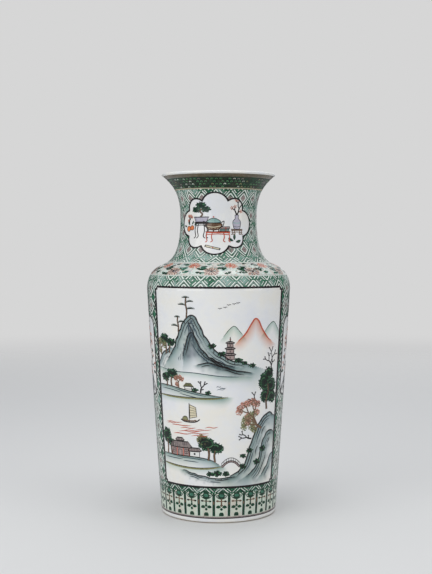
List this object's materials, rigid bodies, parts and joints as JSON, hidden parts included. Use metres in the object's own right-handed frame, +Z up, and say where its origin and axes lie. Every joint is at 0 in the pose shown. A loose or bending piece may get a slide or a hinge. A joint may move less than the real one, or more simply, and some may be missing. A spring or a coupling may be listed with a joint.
{
  "type": "enamelled porcelain vase",
  "caption": "Tall porcelain vase with a tapering body, rounded shoulder, waisted neck and flared mouth, built from luted sections and decorated in green-family enamels.",
  "frame": {"origin": "centre of the foot ring's resting face, on the table", "axes": "+Z up along the turning axis, -Y towards the viewer of the pictured side"},
  "size_m": [0.1908, 0.1908, 0.45],
  "materials": {
    "porcelain": "gloss",
    "biscuit": "matte",
    "slip": "satin",
    "green_enamel": "gloss",
    "pale_green_enamel": "gloss",
    "blue_green_enamel": "gloss",
    "iron_red_enamel": "satin",
    "aubergine_enamel": "gloss",
    "black_enamel": "satin",
    "white_enamel": "gloss"
  },
  "bodies": {
    "root": {"foot_ring": "porcelain", "foot_slip": "slip", "base": "porcelain", "base_slip": "slip", "lower_wall": "porcelain", "middle_slip": "slip", "upper_wall": "porcelain", "shoulder_slip": "slip", "shoulder": "porcelain", "neck_slip": "slip", "neck": "porcelain", "mouth_slip": "slip", "mouth": "porcelain"}
  },
  "joints": []
}
